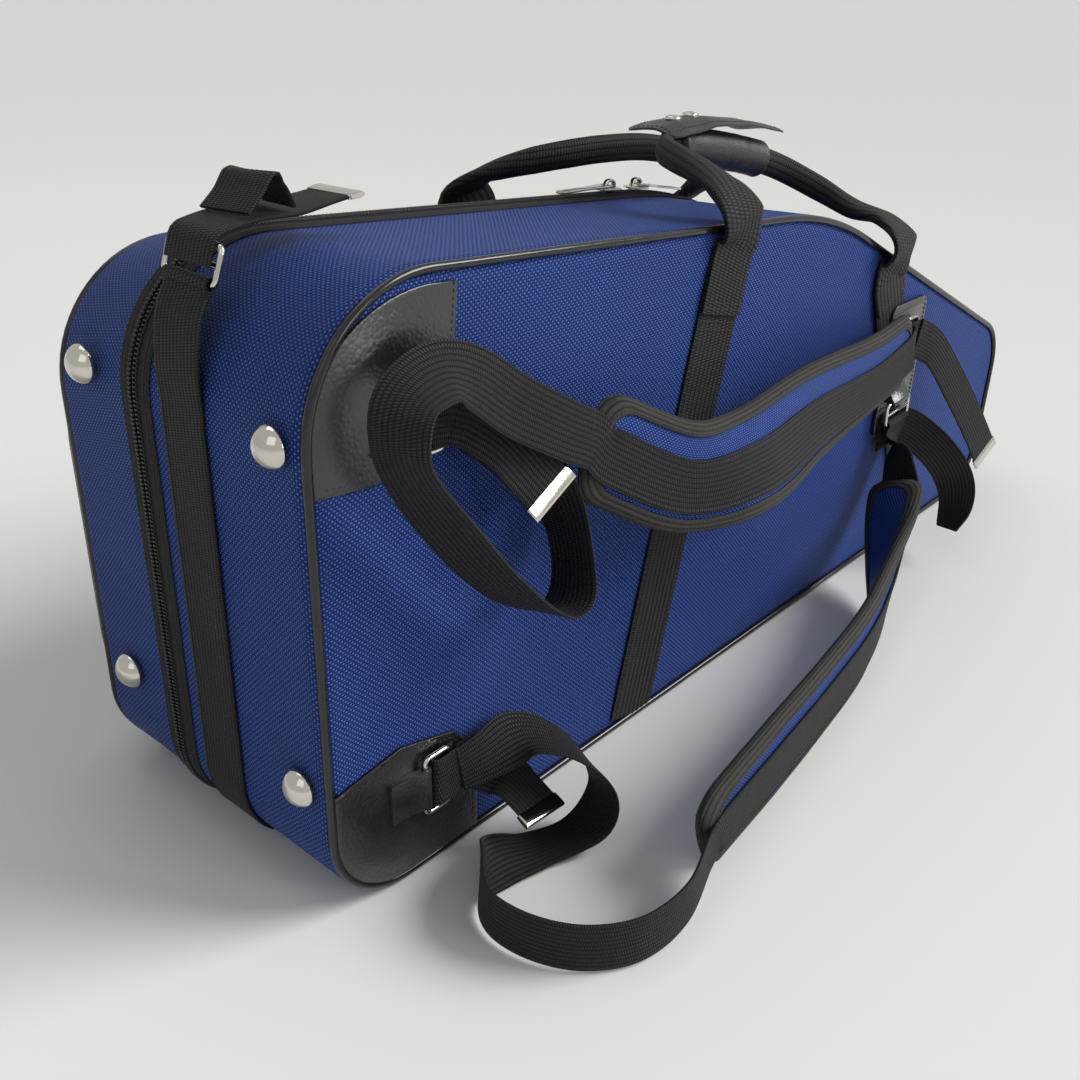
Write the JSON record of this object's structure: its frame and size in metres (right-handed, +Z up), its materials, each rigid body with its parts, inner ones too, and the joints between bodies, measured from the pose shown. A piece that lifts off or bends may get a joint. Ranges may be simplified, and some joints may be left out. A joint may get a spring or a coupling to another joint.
{
  "type": "tenor saxophone case",
  "caption": "Shaped soft tenor saxophone case with a hinged zip lid, side pocket, carrying loops with a leather grip flap and padded shoulder straps.",
  "frame": {"origin": "the middle of the case's length on the floor under the spine it stands on, midway between the flat back and the lid's flat front", "axes": "+X along the case from the bell end to the narrow end, +Y from the strapped back to the lid's front, +Z up from the spine to the handles"},
  "size_m": [0.8396, 0.3813, 0.3804],
  "materials": {
    "shell_fabric": "coarse woven fabric, dark blue",
    "pad_fabric": "woven fabric over foam, dark blue with black binding",
    "lining": "short plush",
    "piping": "glossy vinyl",
    "zip_tape": "matte woven tape",
    "zip_coil": "coil teeth",
    "nickel": "polished nickel",
    "webbing": "ribbed webbing",
    "leather": "pebbled, semi-gloss"
  },
  "bodies": {
    "base": {"base_shell": "shell_fabric", "base_insert": "lining", "base_piping": "piping", "base_zip_tape": "zip_tape", "base_zip_coil": "zip_coil", "spine_strip_base": "zip_tape", "base_studs": "nickel", "band_a_base": "webbing", "band_b_base": "webbing", "corner_patch_top": "leather", "corner_patch_foot": "leather", "anchor_patch": "leather", "corner_slides": "nickel", "anchor_slides": "nickel", "corner_tabs": "leather", "anchor_tab": "leather", "corner_folds": "webbing", "anchor_fold": "webbing", "anchor_hem": "webbing", "anchor_root_lower": "webbing", "end_strap": "webbing", "end_strap_crossing": "webbing", "end_buckle": "nickel"},
    "lid": {"lid_shell": "shell_fabric", "lid_pad": "lining", "lid_piping": "piping", "lid_zip_tape": "zip_tape", "lid_zip_coil": "zip_coil", "spine_strip_lid": "zip_tape", "lid_studs": "nickel", "band_a_lid": "webbing", "band_b_lid": "webbing", "pocket_shell": "shell_fabric", "pocket_zip_tape": "zip_tape", "pocket_zip_coil": "zip_coil"},
    "slider_left": {"zip_slider_left": "nickel"},
    "pull_left": {"zip_pull_left": "nickel"},
    "slider_right": {"zip_slider_right": "nickel"},
    "pull_right": {"zip_pull_right": "nickel"},
    "slider_pocket": {"pocket_slider": "nickel"},
    "pull_pocket": {"pocket_pull": "nickel"},
    "handle_near": {"handle_loop_near": "webbing", "grip_roll": "leather"},
    "flap": {"grip_flap": "leather", "flap_snaps": "nickel"},
    "handle_far": {"handle_loop_far": "webbing"},
    "strap_upper": {"strap_webbing_upper": "webbing", "strap_pad_upper": "pad_fabric", "strap_tail_upper": "webbing", "strap_tip_upper": "nickel"},
    "strap_lower": {"strap_webbing_lower": "webbing", "strap_pad_lower": "pad_fabric", "strap_tail_lower": "webbing", "strap_tip_lower": "nickel"},
    "tail_upper": {"anchor_tail_upper": "webbing", "anchor_tip_upper": "nickel"},
    "tail_lower": {"anchor_tail_lower": "webbing"},
    "tail_end": {"end_tail": "webbing", "end_tail_fold": "webbing", "end_tail_tip": "nickel"}
  },
  "joints": [
    {"name": "lid_hinge", "type": "hinge", "parent": "base", "child": "lid", "pos_m": [0, 0.0265, 0], "axis": [-1, 0, 0], "range_deg": [0, 170]},
    {"name": "zip_slider_left", "type": "slide", "parent": "base", "child": "slider_left", "axis": [-0.9972, 0, 0.0748], "range_m": [0, 0.28]},
    {"name": "zip_pull_left", "type": "hinge", "parent": "slider_left", "child": "pull_left", "pos_m": [-0.03656, 0.0265, 0.32662], "axis": [0, 1, 0], "range_deg": [0, 115]},
    {"name": "zip_slider_right", "type": "hinge", "parent": "base", "child": "slider_right", "pos_m": [-0.04654, 0.0265, -0.04076], "axis": [0, 1, 0], "range_deg": [0, 14]},
    {"name": "zip_pull_right", "type": "hinge", "parent": "slider_right", "child": "pull_right", "pos_m": [-0.00169, 0.0265, 0.3236], "axis": [0, -1, 0], "range_deg": [0, 115]},
    {"name": "pocket_slider", "type": "slide", "parent": "lid", "child": "slider_pocket", "axis": [-0.9972, 0, 0.0748], "range_m": [0, 0.26]},
    {"name": "pocket_pull", "type": "hinge", "parent": "slider_pocket", "child": "pull_pocket", "pos_m": [-0.02237, 0.1135, 0.27756], "axis": [0, -1, 0], "range_deg": [0, 115]},
    {"name": "handle_near", "type": "hinge", "parent": "base", "child": "handle_near", "pos_m": [-0.07985, -0.1104, 0.31075], "axis": [0.9716, 0, -0.2367], "range_deg": [0, 110]},
    {"name": "grip_flap", "type": "hinge", "parent": "handle_near", "child": "flap", "pos_m": [0, -0.03, 0.3672], "axis": [0.9948, 0, -0.102], "range_deg": [0, 150]},
    {"name": "handle_far", "type": "hinge", "parent": "lid", "child": "handle_far", "pos_m": [-0.08474, 0.1104, 0.29012], "axis": [-0.97, 0, 0.243], "range_deg": [0, 110]},
    {"name": "strap_upper", "type": "hinge", "parent": "base", "child": "strap_upper", "pos_m": [-0.346, -0.116, 0.316], "axis": [-0.9853, 0, 0.1708], "range_deg": [0, 60]},
    {"name": "strap_lower", "type": "hinge", "parent": "base", "child": "strap_lower", "pos_m": [0.18363, -0.1156, 0.13102], "axis": [-0.9976, 0, -0.0698], "range_deg": [0, 45]},
    {"name": "tail_upper", "type": "hinge", "parent": "base", "child": "tail_upper", "pos_m": [0.2049, -0.1235, 0.197], "axis": [0, 0, -1], "range_deg": [0, 60]},
    {"name": "tail_lower", "type": "hinge", "parent": "base", "child": "tail_lower", "pos_m": [0.2044, -0.1131, 0.121], "axis": [0, 0, -1], "range_deg": [0, 60]},
    {"name": "tail_end", "type": "hinge", "parent": "base", "child": "tail_end", "pos_m": [-0.395, -0.0155, 0.3584], "axis": [0, -1, 0], "range_deg": [0, 100]}
  ]
}
